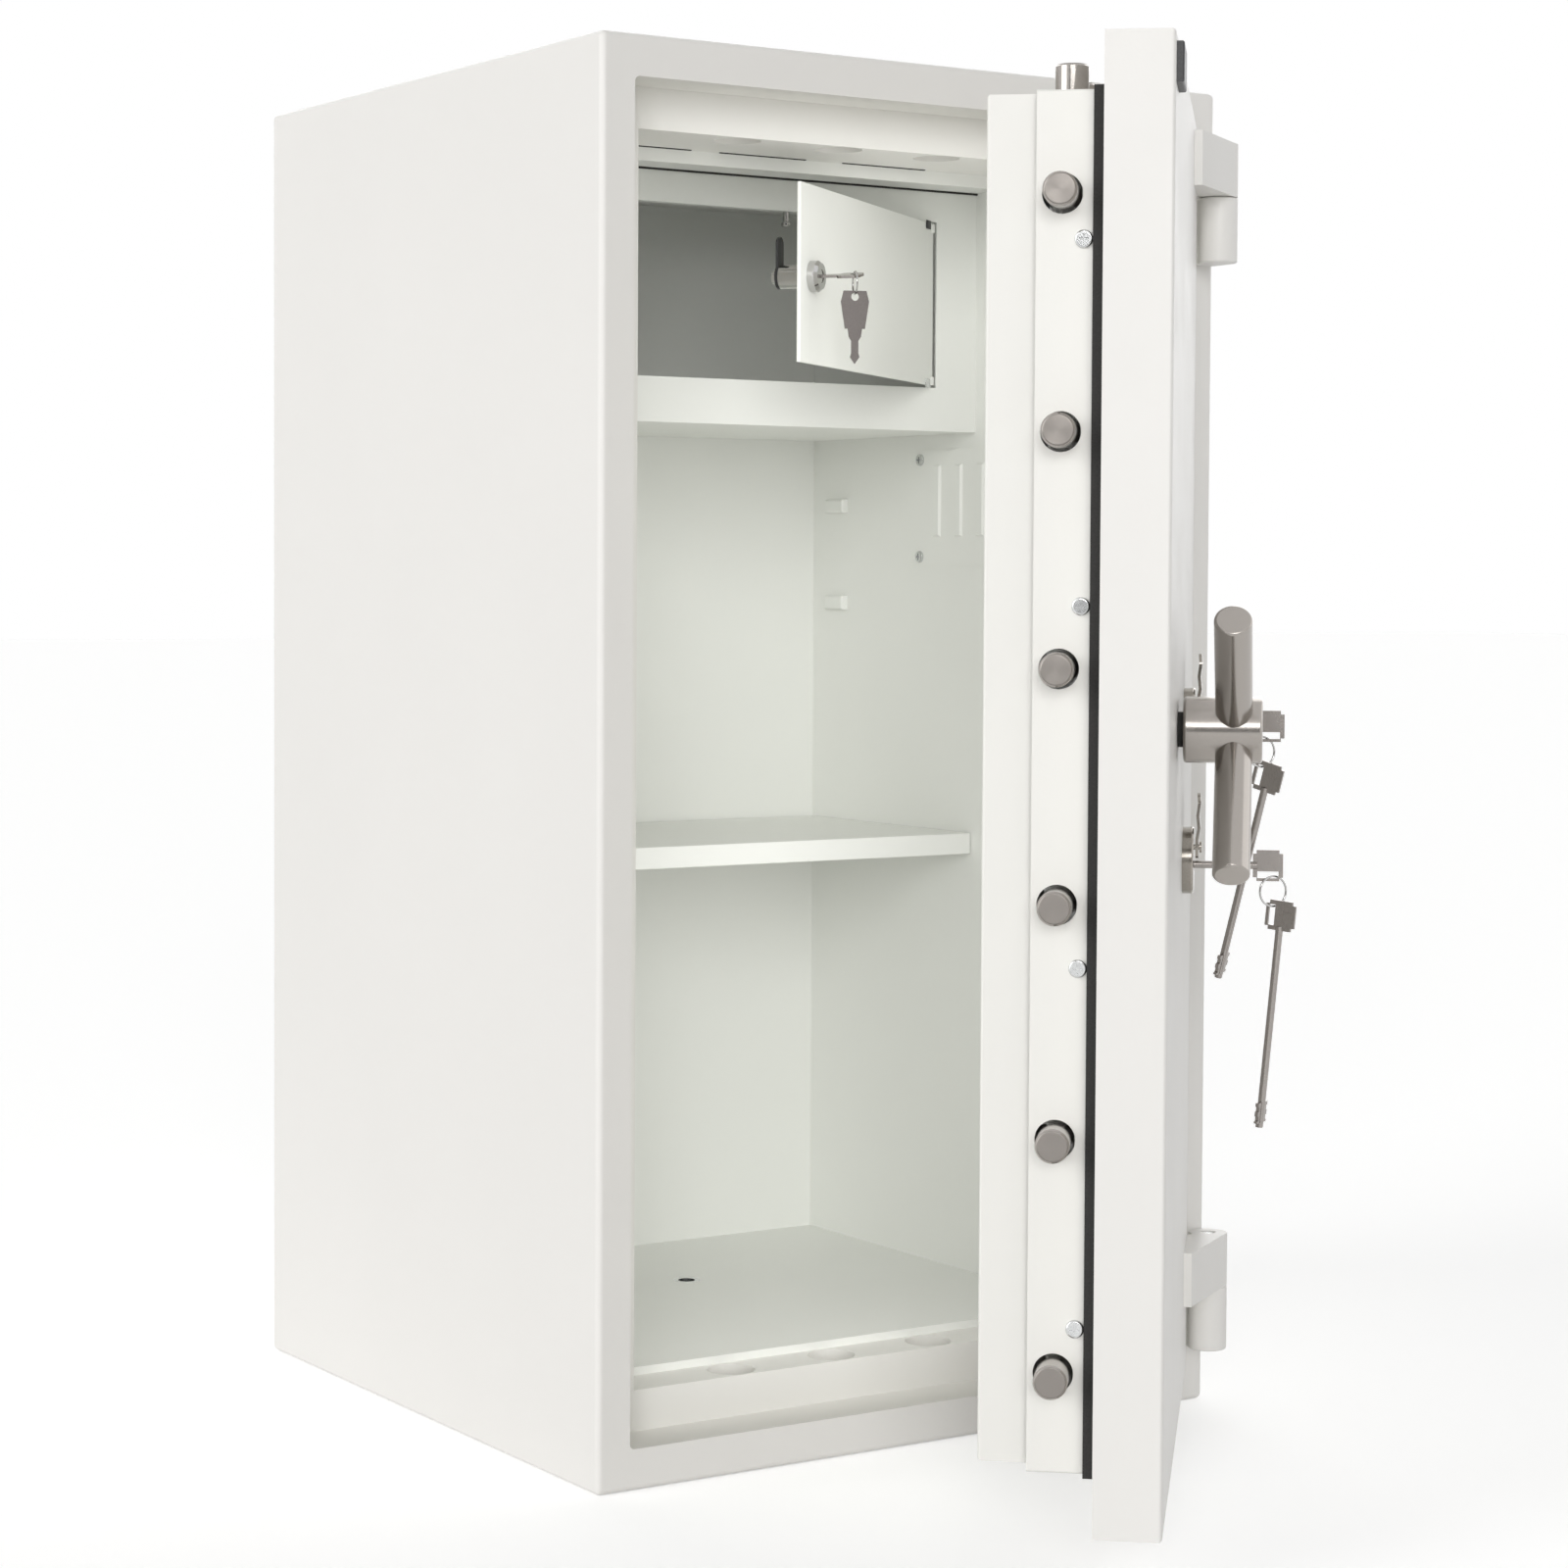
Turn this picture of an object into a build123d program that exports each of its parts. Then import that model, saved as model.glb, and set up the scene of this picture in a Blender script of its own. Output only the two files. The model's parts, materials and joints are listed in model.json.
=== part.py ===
from build123d import *
import os

# Security safe with the door and the inner locker door standing open.
# X points right, Y points to the rear, Z points up. The origin is the centre of the base.

# Body
body_width = 554.0
body_depth = 545.0
body_height = 1030.0
edge_round = 4.5
casing_sheet = 3.0
front_y = -body_depth / 2
rear_y = body_depth / 2

# Stepped door opening
outer_half_width = 250.0
outer_bottom = 30.0
outer_top = 1000.0
recess_depth = 44.0
inner_half_width = 221.0
inner_bottom = 60.0
inner_top = 970.0
frame_sheet = 3.0
mouth_round = 4.0
soffit_depth = 131.0
sill_depth = 84.0
band_y = front_y + recess_depth

# Channels in the barrier fill round the bolt sockets
channel_end = 10.0
channel_left = 150.0
channel_right = 80.0
channel_rise = 27.0

# Interior liner
liner_sheet = 2.0
liner_back_y = front_y + 481.0
floor_top = 66.0
ceiling_lip_bottom = 960.0

# Door hinge line and opened pose
axis_x = 259.7
axis_y = front_y - 25.5
door_open = 48.5

# Door leaf, measured from the hinge line: u runs to the free edge, w runs into the safe
leaf_front = 16.0
leaf_depth = 45.0
leaf_back = leaf_front + leaf_depth
leaf_near = 13.7
leaf_far = 505.5
leaf_bottom = 33.5
leaf_top = 996.5
leaf_sheet = 3.0
back_sheet = 2.0
seal_depth = 8.0
seal_width = 22.0
seal_far = 477.0
seal_near = 42.0
seal_bottom = 65.5
seal_top = 966.0

# Bolt box and inner cover on the back of the leaf
box_sheet = 2.0
box_front = leaf_back + seal_depth
box_back = box_front + 37.0
box_near = 47.0
box_far = 472.0
box_bottom = 67.0
box_top = 964.0
cover_back = box_back + 33.0
cover_near = 57.0
cover_far = 462.0
cover_bottom = 70.5
cover_top = 962.5

# Locking bolts
bolt_radius = 11.25
bolt_hole_radius = 13.2
bolt_w = box_front + 20.0
side_throw = 27.0
side_count = 6
side_pitch = 153.0
side_first_z = 132.5
top_throw = 28.0
bottom_throw = 18.0
edge_count = 3
edge_pitch = 90.0
edge_first_x = -125.5
socket_radius = 18.0
cup_wall = 1.5
cup_depths = {"side": 23.0, "top": 25.0, "bottom": 22.0}
bolt_chamfer = 1.2

# Door hinges
knuckle_radius = 15.0
pin_radius = 6.0
pin_clearance = 0.05
hinge_bases = (47.5, 895.0)
body_knuckle_height = 50.0
door_knuckle_height = 41.0
knuckle_gap = 0.5
arm_length = 90.0
arm_tip_thickness = 6.0

# Handle
handle_u = 350.0
handle_z = 548.0
hub_radius = 22.5
hub_length = 53.0
hub_gap = 4.0
collar_radius = 12.0
spoke_radius = 12.5
spoke_length = 118.0
spoke_angles = (40.0, -52.0, 174.0)
spoke_w = -22.0
spindle_radius = 8.0
spindle_bore = 9.0

# Key locks in the door
lock_u = 212.0
lock_heights = {"upper": 548.0, "lower": 448.0}
rosette_radius = 24.0
rosette_depth = 8.0
keyway_radius = 5.0
key_shaft_radius = 2.7
key_drop = 3.0
key_reach = 71.5
bow_width = 21.5
bow_height = 22.4
bow_thickness = 2.2
bow_notch = 2.6
slot_length = 15.0
slot_height = 4.8
slot_edge = 2.2
ring_radius = 10.8
ring_wire = 0.8
ring_turn = 32.0
spare_turn = 22.0
spare_length = 146.5

# Locker in the top of the interior
locker_front_y = front_y + 238.0
locker_bottom = 771.5
locker_sheet = 2.0
locker_open_left = -152.0
locker_open_right = 180.5
locker_open_bottom = 807.3
locker_open_top = 944.0
locker_return = 12.0
locker_axis_x = 175.0
locker_axis_y = locker_front_y + 3.0
locker_door_length = 323.0
locker_door_sheet = 3.0
locker_open = 36.9
locker_pin_radius = 2.5
locker_lock_z = 874.0
locker_lock_reach = 298.0
barrel_radius = 9.0
barrel_back = 24.0
bezel_radius = 11.8
bezel_depth = 8.0
plug_radius = 5.0

# Shelf
shelf_front_y = front_y + 239.0
shelf_top = 436.2
shelf_lip = 17.4
shelf_sheet = 2.0
shelf_side_gap = 1.5
shelf_rear_gap = 2.0
shelf_rear_lip = 10.0

# Floor anchor
anchor_radius = 7.0
anchor_wall = 4.0
anchor_y = 60.0


def block(x0, x1, y0, y1, z0, z1):
    return Pos((x0 + x1) / 2, (y0 + y1) / 2, (z0 + z1) / 2) * Box(x1 - x0, y1 - y0, z1 - z0)


def rod_x(radius, y, z, x0, x1):
    return Pos((x0 + x1) / 2, y, z) * Rot(0, 90, 0) * Cylinder(radius, x1 - x0)


def rod_y(radius, x, z, y0, y1):
    return Pos(x, (y0 + y1) / 2, z) * Rot(90, 0, 0) * Cylinder(radius, y1 - y0)


def rod_z(radius, x, y, z0, z1):
    return Pos(x, y, (z0 + z1) / 2) * Cylinder(radius, z1 - z0)


def door_block(u0, u1, w0, w1, z0, z1):
    return block(axis_x - u1, axis_x - u0, axis_y + w0, axis_y + w1, z0, z1)


def door_rod(radius, u, z, w0, w1):
    return rod_y(radius, axis_x - u, z, axis_y + w0, axis_y + w1)


def turned(shape, x, y, angle):
    return Pos(x, y, 0) * Rot(0, 0, angle) * Pos(-x, -y, 0) * shape


def on_door(shape):
    return turned(shape, axis_x, axis_y, door_open)


def on_locker_door(shape):
    return turned(shape, locker_axis_x, locker_axis_y, locker_open)


def union(shapes):
    total = shapes[0]
    for shape in shapes[1:]:
        total = total + shape
    return total


def without(shape, cuts):
    for cut in cuts:
        shape = shape - cut
    return shape


def side_bolt_heights():
    return [side_first_z + side_pitch * i for i in range(side_count)]


def edge_bolt_places():
    return [edge_first_x + edge_pitch * i for i in range(edge_count)]


nodes = {}


def add(name, *solids):
    nodes[name] = Compound(children=[solid for solid in solids])


# Outer casing: a rounded box of sheet steel with a front flange round the door opening
def outer_casing():
    half = body_width / 2
    shell = block(-half, half, front_y, rear_y, 0, body_height)
    shell = fillet(shell.edges(), edge_round)
    inside = block(
        -half + casing_sheet,
        half - casing_sheet,
        front_y + casing_sheet,
        rear_y - casing_sheet,
        casing_sheet,
        body_height - casing_sheet,
    )
    mouth = block(
        -outer_half_width, outer_half_width, front_y - 1, front_y + casing_sheet + 1, outer_bottom, outer_top
    )
    mouth = fillet(mouth.edges().filter_by(Axis.Y), mouth_round)
    anchor = rod_z(anchor_radius + anchor_wall, 0, anchor_y, -1, casing_sheet + 1)
    return without(shell, [inside, mouth, anchor])


# A cylinder for each bolt socket, and the cup behind it that takes the bolt when it is thrown
def socket_rods(radius, extra):
    y = axis_y + bolt_w
    side_end = inner_half_width + cup_depths["side"] + extra
    top_end = inner_top + cup_depths["top"] + extra
    bottom_end = inner_bottom - cup_depths["bottom"] - extra
    rods = [rod_x(radius, y, z, -side_end, -inner_half_width + 1) for z in side_bolt_heights()]
    for x in edge_bolt_places():
        rods.append(rod_z(radius, x, y, inner_top - 1, top_end))
        rods.append(rod_z(radius, x, y, bottom_end, inner_bottom + 1))
    return rods


# Rebate behind the flange: outer jamb, front facing band, then inner jamb with the bolt sockets
def door_frame():
    jamb = block(
        -outer_half_width - frame_sheet,
        outer_half_width + frame_sheet,
        front_y + casing_sheet,
        band_y + frame_sheet,
        outer_bottom - frame_sheet,
        outer_top + frame_sheet,
    )
    sleeve = block(
        -inner_half_width - frame_sheet,
        inner_half_width + frame_sheet,
        band_y + frame_sheet,
        front_y + soffit_depth,
        inner_bottom - frame_sheet,
        inner_top + frame_sheet,
    )
    outer_space = block(
        -outer_half_width, outer_half_width, front_y, band_y, outer_bottom, outer_top
    )
    outer_space = fillet(outer_space.edges().filter_by(Axis.Y), mouth_round)
    inner_space = block(
        -inner_half_width, inner_half_width, front_y, rear_y, inner_bottom, inner_top
    )
    cups = socket_rods(socket_radius + cup_wall, cup_wall)
    sockets = socket_rods(socket_radius, 0)
    return without(union([jamb, sleeve] + cups), [outer_space, inner_space] + sockets)


# Interior liner: floor, walls, ceiling and back, with a turned down lip at the ceiling
def interior_liner():
    wall_y = front_y + soffit_depth
    outer = block(
        -inner_half_width - liner_sheet,
        inner_half_width + liner_sheet,
        wall_y,
        liner_back_y + liner_sheet,
        inner_bottom - frame_sheet,
        inner_top + liner_sheet,
    )
    space = block(
        -inner_half_width, inner_half_width, wall_y - 1, liner_back_y, floor_top, inner_top
    )
    floor = block(
        -inner_half_width, inner_half_width, front_y + sill_depth, wall_y, inner_bottom, floor_top
    )
    lip = block(
        -inner_half_width, inner_half_width, wall_y, wall_y + liner_sheet, ceiling_lip_bottom, inner_top
    )
    anchor = rod_z(anchor_radius + anchor_wall, 0, anchor_y, 0, floor_top + 1)
    return (outer - space + floor + lip) - anchor


# Barrier fill between casing and liner, with channels round the bolt sockets
def barrier_fill():
    half = body_width / 2 - casing_sheet
    mass = block(
        -half, half, front_y + casing_sheet, rear_y - casing_sheet, casing_sheet, body_height - casing_sheet
    )
    rebate = block(
        -outer_half_width - frame_sheet,
        outer_half_width + frame_sheet,
        front_y,
        band_y + frame_sheet,
        outer_bottom - frame_sheet,
        outer_top + frame_sheet,
    )
    throat = block(
        -inner_half_width - frame_sheet,
        inner_half_width + frame_sheet,
        front_y,
        front_y + soffit_depth,
        inner_bottom - frame_sheet,
        inner_top + frame_sheet,
    )
    room = block(
        -inner_half_width - liner_sheet,
        inner_half_width + liner_sheet,
        front_y,
        liner_back_y + liner_sheet,
        inner_bottom - frame_sheet,
        inner_top + liner_sheet,
    )
    channel_y1 = front_y + soffit_depth - channel_end
    side_channel = block(-outer_half_width, 0, band_y, channel_y1, inner_bottom, inner_top)
    edge_channel = block(
        -channel_left,
        channel_right,
        band_y,
        channel_y1,
        inner_bottom - channel_rise,
        inner_top + channel_rise,
    )
    anchor = rod_z(anchor_radius + anchor_wall, 0, anchor_y, 0, inner_bottom)
    return without(mass, [rebate, throat, room, side_channel, edge_channel, anchor])


def anchor_sleeve():
    outer = rod_z(anchor_radius + anchor_wall, 0, anchor_y, 0, floor_top)
    return outer - rod_z(anchor_radius, 0, anchor_y, -1, floor_top + 1)


add("outer_casing", outer_casing())
add("door_frame", door_frame())
add("interior_liner", interior_liner())
add("barrier_fill", barrier_fill())
add("anchor_sleeve", anchor_sleeve())


# Hinges: body knuckles with welded webs, pins, and door knuckles with tapered arms
def body_knuckle(base):
    top = base + body_knuckle_height
    barrel = rod_z(knuckle_radius, axis_x, axis_y, base, top)
    web = block(axis_x - 9, axis_x + knuckle_radius, axis_y, front_y, base, top)
    knuckle = chamfer((barrel + web).edges().filter_by(GeomType.CIRCLE), 1.0)
    return knuckle - rod_z(pin_radius, axis_x, axis_y, base + 6, top + 1)


def hinge_pin(base):
    top = base + body_knuckle_height + knuckle_gap + door_knuckle_height
    return chamfer(rod_z(pin_radius, axis_x, axis_y, base + 6, top - 1).edges().group_by(Axis.Z)[-1], 1)


def hinge_arm(base):
    low = base + body_knuckle_height + knuckle_gap
    height = door_knuckle_height
    tip = leaf_front - arm_tip_thickness
    outline = [
        (0, -knuckle_radius),
        (-arm_length, tip),
        (-arm_length, leaf_front),
        (-knuckle_radius, leaf_front),
        (0, 0),
    ]
    wedge = Pos(axis_x, axis_y, low) * extrude(make_face(Polyline(*outline, close=True)), height)
    barrel = rod_z(knuckle_radius, axis_x, axis_y, low, low + height)
    arm = barrel + wedge
    return arm - rod_z(pin_radius + pin_clearance, axis_x, axis_y, low - 1, low + height + 1)


add("body_hinge_knuckles", *[body_knuckle(base) for base in hinge_bases])
add("hinge_pins", *[hinge_pin(base) for base in hinge_bases])
add("door_hinge_arms", *[on_door(hinge_arm(base)) for base in hinge_bases])


# Side wall fittings: a ribbed cover plate with its screws, and the shelf clips
cover_y0 = -77.5
cover_y1 = 49.5
cover_z0 = 660.0
cover_z1 = 758.5
cover_sheet = 1.5
rib_ys = (16.5, -14.5, -45.5)
rib_z0 = 685.0
rib_z1 = 746.0
screw_radius = 5.0
screw_height = 2.2


def cover_plate():
    plate = block(inner_half_width - cover_sheet, inner_half_width, cover_y0, cover_y1, cover_z0, cover_z1)
    ribs = []
    for y in rib_ys:
        bar = block(inner_half_width - cover_sheet - 2, inner_half_width - 0.5, y - 5, y + 5, rib_z0, rib_z1)
        ribs.append(chamfer(bar.faces().sort_by(Axis.X)[0].edges(), 1.6))
    return union([plate] + ribs)


def cross_slot(length, width):
    return Box(length, width, 3) + Box(width, length, 3)


def wall_screw(y, z):
    x = inner_half_width - cover_sheet
    head = rod_x(screw_radius, y, z, x - screw_height, x)
    head = fillet(head.faces().sort_by(Axis.X)[0].edges(), 1.2)
    return head - Pos(x - screw_height, y, z) * Rot(0, 90, 0) * cross_slot(5.6, 1.4)


add("side_cover_plate", cover_plate())
add(
    "cover_plate_screws",
    *[wall_screw(y, z) for y in (cover_y0 + 8, cover_y1 - 8) for z in (cover_z0 + 8, cover_z1 - 8)],
)

clip_length = 28.0
clip_height = 12.0
clip_reach = 6.0
rear_clip_y = 168.5
front_clip_y = 20.0
spare_clip_heights = (713.0, 628.0)
shelf_clip_z = shelf_top - shelf_sheet - clip_height / 2


def shelf_clip(side, y, z):
    x0 = side * (inner_half_width - clip_reach)
    x1 = side * inner_half_width
    half_length = clip_length / 2
    half_height = clip_height / 2
    y0 = y - half_length
    z0 = z - half_height
    plate = block(min(x0, x1), max(x0, x1), y0, y0 + clip_length, z0, z0 + clip_height)
    edge = plate.faces().sort_by(Axis.X)[0 if side > 0 else -1]
    return fillet(edge.edges(), 2.0)


clips = []
for side in (-1, 1):
    for y in (front_clip_y, rear_clip_y):
        clips.append(shelf_clip(side, y, shelf_clip_z))
    for z in spare_clip_heights:
        clips.append(shelf_clip(side, rear_clip_y, z))
add("shelf_clips", *clips)


# Shelf: a sheet with a turned down front lip, and a short rear lip that passes between the clips
def shelf():
    half = inner_half_width - shelf_side_gap
    rear_half = inner_half_width - clip_reach - shelf_side_gap
    back = liner_back_y - shelf_rear_gap
    plate = block(-half, half, shelf_front_y, back, shelf_top - shelf_sheet, shelf_top)
    front_back = shelf_front_y + shelf_sheet
    front_lip = block(-half, half, shelf_front_y, front_back, shelf_top - shelf_lip, shelf_top)
    rear_front = back - shelf_sheet
    rear_lip = block(-rear_half, rear_half, rear_front, back, shelf_top - shelf_rear_lip, shelf_top)
    body = plate + front_lip + rear_lip
    return fillet(body.edges().filter_by(Axis.X).sort_by(Axis.Y)[:2], 0.9)


add("shelf", shelf())


# Locker: front panel with a door opening, floor, and returns above and below the opening
def locker_housing():
    half = inner_half_width
    front = locker_front_y
    panel = block(-half, half, front, front + locker_sheet, locker_bottom, inner_top)
    floor = block(-half, half, front, liner_back_y, locker_bottom, locker_bottom + locker_sheet)
    opening = block(
        locker_open_left,
        locker_open_right,
        front - 1,
        front + locker_return + 1,
        locker_open_bottom,
        locker_open_top,
    )
    collar = block(
        locker_open_left,
        locker_open_right,
        front,
        front + locker_return,
        locker_open_bottom - locker_sheet,
        locker_open_top + locker_sheet,
    )
    return panel + floor + collar - opening


def locker_pins():
    solids = []
    for z0, z1 in ((locker_open_bottom, locker_open_bottom + 9), (locker_open_top - 9, locker_open_top)):
        solids.append(rod_z(locker_pin_radius, locker_axis_x, locker_axis_y, z0, z1))
    return solids


locker_door_bottom = locker_open_bottom + 2.0
locker_door_top = locker_open_top - 2.0
locker_eye_radius = 4.5


def locker_door():
    far_x = locker_axis_x - locker_door_length
    near_x = locker_axis_x + 1.0
    front = locker_front_y
    plate = block(far_x, near_x, front, front + locker_door_sheet, locker_door_bottom, locker_door_top)
    plate = fillet(plate.edges().filter_by(Axis.Z).sort_by(Axis.X)[:2], 1.0)
    eyes = [
        rod_z(locker_eye_radius, locker_axis_x, locker_axis_y, z0, z0 + 7)
        for z0 in (locker_door_bottom, locker_door_top - 7)
    ]
    bores = rod_z(locker_pin_radius + pin_clearance, locker_axis_x, locker_axis_y, 0, body_height)
    lock_hole = rod_y(
        barrel_radius, locker_axis_x - locker_lock_reach, locker_lock_z, front - 5, front + 10
    )
    return union([plate] + eyes) - bores - lock_hole


# Cam lock on the locker door, with its key, the cam behind and a second key hanging
locker_lock_x = locker_axis_x - locker_lock_reach
plug_clearance = 0.05
nut_radius = 12.5
nut_depth = 3.0
cam_sheet = 2.0
cam_half_width = 6.0
cam_boss_radius = 9.0
cam_length = 24.0
cam_gap = 0.5
plug_tail = 4.0


def locker_lock_body():
    front = locker_front_y
    barrel = rod_y(barrel_radius, locker_lock_x, locker_lock_z, front, front + barrel_back)
    bezel = rod_y(bezel_radius, locker_lock_x, locker_lock_z, front - bezel_depth, front)
    bezel = chamfer(bezel.faces().sort_by(Axis.Y)[0].edges(), 2.5, 2.0)
    bore_radius = plug_radius + plug_clearance
    plug = rod_y(bore_radius, locker_lock_x, locker_lock_z, front - bezel_depth - 1, front + barrel_back + 1)
    return barrel + bezel - plug


def locker_lock_nut():
    front = locker_front_y + locker_door_sheet
    ring = rod_y(nut_radius, locker_lock_x, locker_lock_z, front, front + nut_depth)
    return ring - rod_y(barrel_radius, locker_lock_x, locker_lock_z, front - 1, front + nut_depth + 1)


def locker_plug():
    front = locker_front_y - bezel_depth + 0.5
    back = locker_front_y + barrel_back + cam_gap + cam_sheet + plug_tail
    return rod_y(plug_radius, locker_lock_x, locker_lock_z, front, back)


def locker_cam():
    x = locker_lock_x
    z = locker_lock_z
    back = locker_front_y + barrel_back + cam_gap
    end = back + cam_sheet
    tail = block(x - cam_half_width, x + cam_half_width, back, end, z, z + cam_length)
    boss = rod_y(cam_boss_radius, x, z, back, end)
    tip = rod_y(cam_half_width, x, z + cam_length, back, end)
    return boss + tail + tip - rod_y(plug_radius, x, z, back - 1, end + 1)


# Flat keys of the locker lock: a six sided bow with a ring hole, and a notched blade
small_bow = [(-8.5, 0), (-10.5, -8), (-7.5, -28), (7.5, -28), (10.5, -8), (8.5, 0)]
small_blade = [(-5.5, -27), (-4.5, -34), (-2.6, -37), (-2.6, -46), (-3.4, -49)]
small_blade_back = [(0, -54), (3.4, -49), (2.6, -46), (2.6, -37), (4.5, -34), (5.5, -27)]
small_key_sheet = 2.0
small_hole_radius = 3.0
small_hole_drop = 4.4
small_key_turn = 60.0


def small_key():
    bow = extrude(make_face(Polyline(*small_bow, close=True)), small_key_sheet)
    blade = extrude(make_face(Polyline(*small_blade, *small_blade_back, close=True)), small_key_sheet)
    hole = Pos(0, -small_hole_drop, 0) * Cylinder(small_hole_radius, 3 * small_key_sheet)
    return Rot(90, 0, 0) * Pos(0, 0, -small_key_sheet / 2) * (bow + blade - hole)


key_front = locker_front_y - bezel_depth + 0.5
stem_length = 14.0
stem_half_width = 3.5
flat_bow_length = 18.0
flat_bow_half_width = 9.0
flat_key_roll = -12.0
ring_hole_radius = 2.6
ring_hole_y = key_front - stem_length - flat_bow_length + 6.5


def locker_key():
    bow_y = key_front - stem_length
    half = small_key_sheet / 2
    stem = block(-stem_half_width, stem_half_width, bow_y, key_front, -half, half)
    bow = block(-flat_bow_half_width, flat_bow_half_width, bow_y - flat_bow_length, bow_y, -half, half)
    bow = fillet(bow.edges().filter_by(Axis.Z), 5)
    flat = stem + bow - rod_z(ring_hole_radius, 0, ring_hole_y, -half - 1, half + 1)
    return Pos(locker_lock_x, 0, locker_lock_z) * Rot(0, flat_key_roll, 0) * flat


locker_ring_radius = 8.5
locker_ring_wire = 0.7
locker_ring_reach = 6.0
locker_ring_z = locker_lock_z - 6.0


# The ring and the second key hang from the hole in the first key, turned to one side
def at_ring(shape):
    hole = Pos(locker_lock_x, ring_hole_y, locker_ring_z)
    return hole * Rot(0, 0, -small_key_turn) * Pos(0, -locker_ring_reach, 0) * shape


def locker_spare_ring():
    return at_ring(Rot(0, 90, 0) * Torus(locker_ring_radius, locker_ring_wire))


def locker_spare_key():
    return at_ring(Pos(0, 0, 2.6 - locker_ring_radius) * small_key())


catch_x = 36.0
catch_y = locker_front_y + 7.0
catch_knob_height = 4.0


def catch_pin():
    knob_top = locker_open_top - 8
    shaft = rod_z(2.5, catch_x, catch_y, knob_top, locker_open_top)
    knob = rod_z(3.8, catch_x, catch_y, knob_top - catch_knob_height, knob_top)
    return shaft + fillet(knob.edges(), 1.2)


add("locker_housing", locker_housing())
add("locker_hinge_pins", *locker_pins())
add("locker_catch_pin", catch_pin())
add("locker_door", on_locker_door(locker_door()))
add("locker_lock_barrel", on_locker_door(locker_lock_body()))
add("locker_lock_nut", on_locker_door(locker_lock_nut()))
add("locker_lock_plug", on_locker_door(locker_plug()))
add("locker_lock_cam", on_locker_door(locker_cam()))
add("locker_key", on_locker_door(locker_key()))
add("locker_key_ring", on_locker_door(locker_spare_ring()))
add("locker_spare_key", on_locker_door(locker_spare_key()))


# Door leaf: a pan of sheet steel closed by a back plate, filled inside
def door_bores(radius):
    bores = [door_rod(radius, handle_u, handle_z, leaf_front - 5, box_front + 5)]
    for z in lock_heights.values():
        bores.append(door_rod(keyway_radius, lock_u, z - key_drop, leaf_front - 5, box_front + 5))
    return bores


def door_leaf():
    pan = door_block(leaf_near, leaf_far, leaf_front, leaf_back - back_sheet, leaf_bottom, leaf_top)
    pan = fillet(pan.faces().sort_by(Axis.Y)[0].edges(), 2.5)
    space = door_block(
        leaf_near + leaf_sheet,
        leaf_far - leaf_sheet,
        leaf_front + leaf_sheet,
        leaf_back + 1,
        leaf_bottom + leaf_sheet,
        leaf_top - leaf_sheet,
    )
    return without(pan - space, door_bores(spindle_bore))


def door_fill():
    mass = door_block(
        leaf_near + leaf_sheet,
        leaf_far - leaf_sheet,
        leaf_front + leaf_sheet,
        leaf_back - back_sheet,
        leaf_bottom + leaf_sheet,
        leaf_top - leaf_sheet,
    )
    return without(mass, door_bores(spindle_bore))


def door_back_plate():
    plate = door_block(leaf_near, leaf_far, leaf_back - back_sheet, leaf_back, leaf_bottom, leaf_top)
    return without(plate, door_bores(spindle_bore))


def door_seal():
    outer = door_block(seal_near, seal_far, leaf_back, box_front, seal_bottom, seal_top)
    inner = door_block(
        seal_near + seal_width,
        seal_far - seal_width,
        leaf_back - 1,
        box_front + 1,
        seal_bottom + seal_width,
        seal_top - seal_width,
    )
    return outer - inner


def seal_spacer():
    board = door_block(
        seal_near + seal_width,
        seal_far - seal_width,
        leaf_back,
        box_front,
        seal_bottom + seal_width,
        seal_top - seal_width,
    )
    return without(board, door_bores(spindle_bore))


def bolt_box():
    outer = door_block(box_near, box_far, box_front, box_back, box_bottom, box_top)
    outer = fillet(outer.edges().filter_by(Axis.Y), 2.0)
    inner = door_block(
        box_near + box_sheet,
        box_far - box_sheet,
        box_front + box_sheet,
        box_back + 1,
        box_bottom + box_sheet,
        box_top - box_sheet,
    )
    y = axis_y + bolt_w
    far_x = axis_x - box_far
    holes = [rod_x(bolt_hole_radius, y, z, far_x - 5, far_x + 5) for z in side_bolt_heights()]
    for x in edge_bolt_places():
        holes.append(rod_z(bolt_hole_radius, x, y, box_top - 5, box_top + 5))
        holes.append(rod_z(bolt_hole_radius, x, y, box_bottom - 5, box_bottom + 5))
    return without(outer - inner, holes + door_bores(spindle_bore))


def inner_cover():
    outer = door_block(cover_near, cover_far, box_back, cover_back, cover_bottom, cover_top)
    outer = fillet(outer.faces().sort_by(Axis.Y)[-1].edges(), 2.5)
    inner = door_block(
        cover_near + box_sheet,
        cover_far - box_sheet,
        box_back + box_sheet,
        cover_back - box_sheet,
        cover_bottom + box_sheet,
        cover_top - box_sheet,
    )
    return outer - inner


def inner_board():
    return door_block(
        cover_near + box_sheet,
        cover_far - box_sheet,
        box_back + box_sheet,
        cover_back - box_sheet,
        cover_bottom + box_sheet,
        cover_top - box_sheet,
    )


add("door_leaf", on_door(door_leaf()))
add("door_fill", on_door(door_fill()))
add("door_back_plate", on_door(door_back_plate()))
add("door_seal", on_door(door_seal()))
add("door_spacer_board", on_door(seal_spacer()))
add("bolt_box", on_door(bolt_box()))
add("inner_cover", on_door(inner_cover()))
add("inner_cover_board", on_door(inner_board()))

# Small fittings on the door
edge_screw_w = box_front + 6.0
edge_screw_heights = (162.3, 397.5, 632.0, 868.0)
badge_u0 = 448.0
badge_u1 = 496.0
badge_z0 = 964.0
badge_z1 = 990.0
badge_depth = 5.0


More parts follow.
